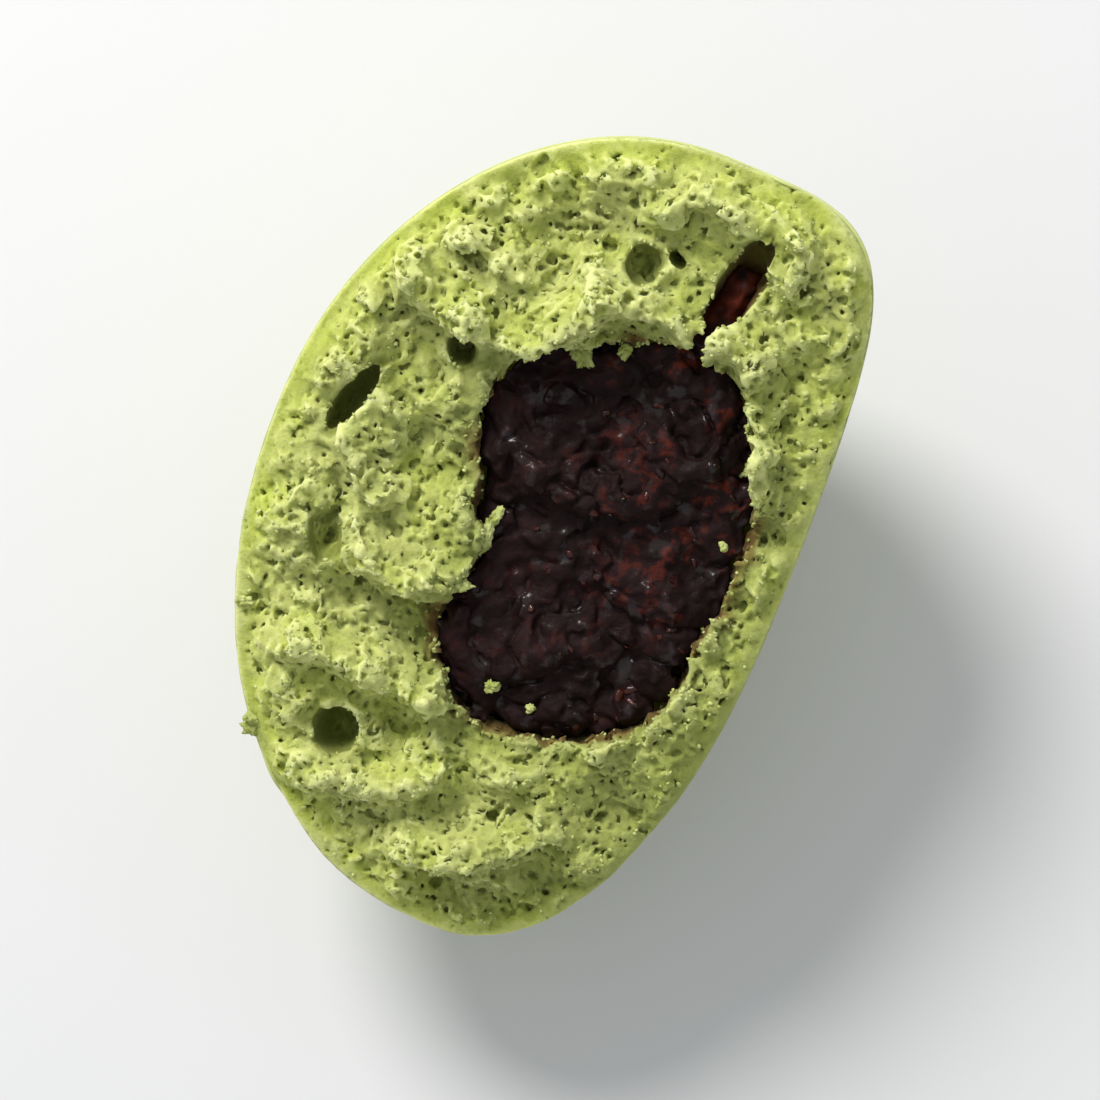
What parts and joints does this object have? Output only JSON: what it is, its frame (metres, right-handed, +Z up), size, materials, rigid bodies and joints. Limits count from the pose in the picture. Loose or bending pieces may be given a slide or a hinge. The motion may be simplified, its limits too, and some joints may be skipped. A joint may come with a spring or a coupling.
{
  "type": "manju half",
  "caption": "Half of a steamed green bun torn open round its dark bean paste, lying on its rounded skin with the torn face up.",
  "frame": {"origin": "on the surface the half lies on, under the middle of its outer box", "axes": "+Z up out of the torn face, +Y towards the broad upper end of the torn face, +X towards the bun's flat base"},
  "size_m": [0.0654, 0.081, 0.0524],
  "materials": {
    "green_dough": "soft matte steamed dough with an open torn crumb and a smooth thin skin",
    "bean_paste": "moist dark bean paste, satin with small glints"
  },
  "bodies": {
    "root": {"dough": "green_dough", "bean_paste": "bean_paste"}
  },
  "joints": []
}
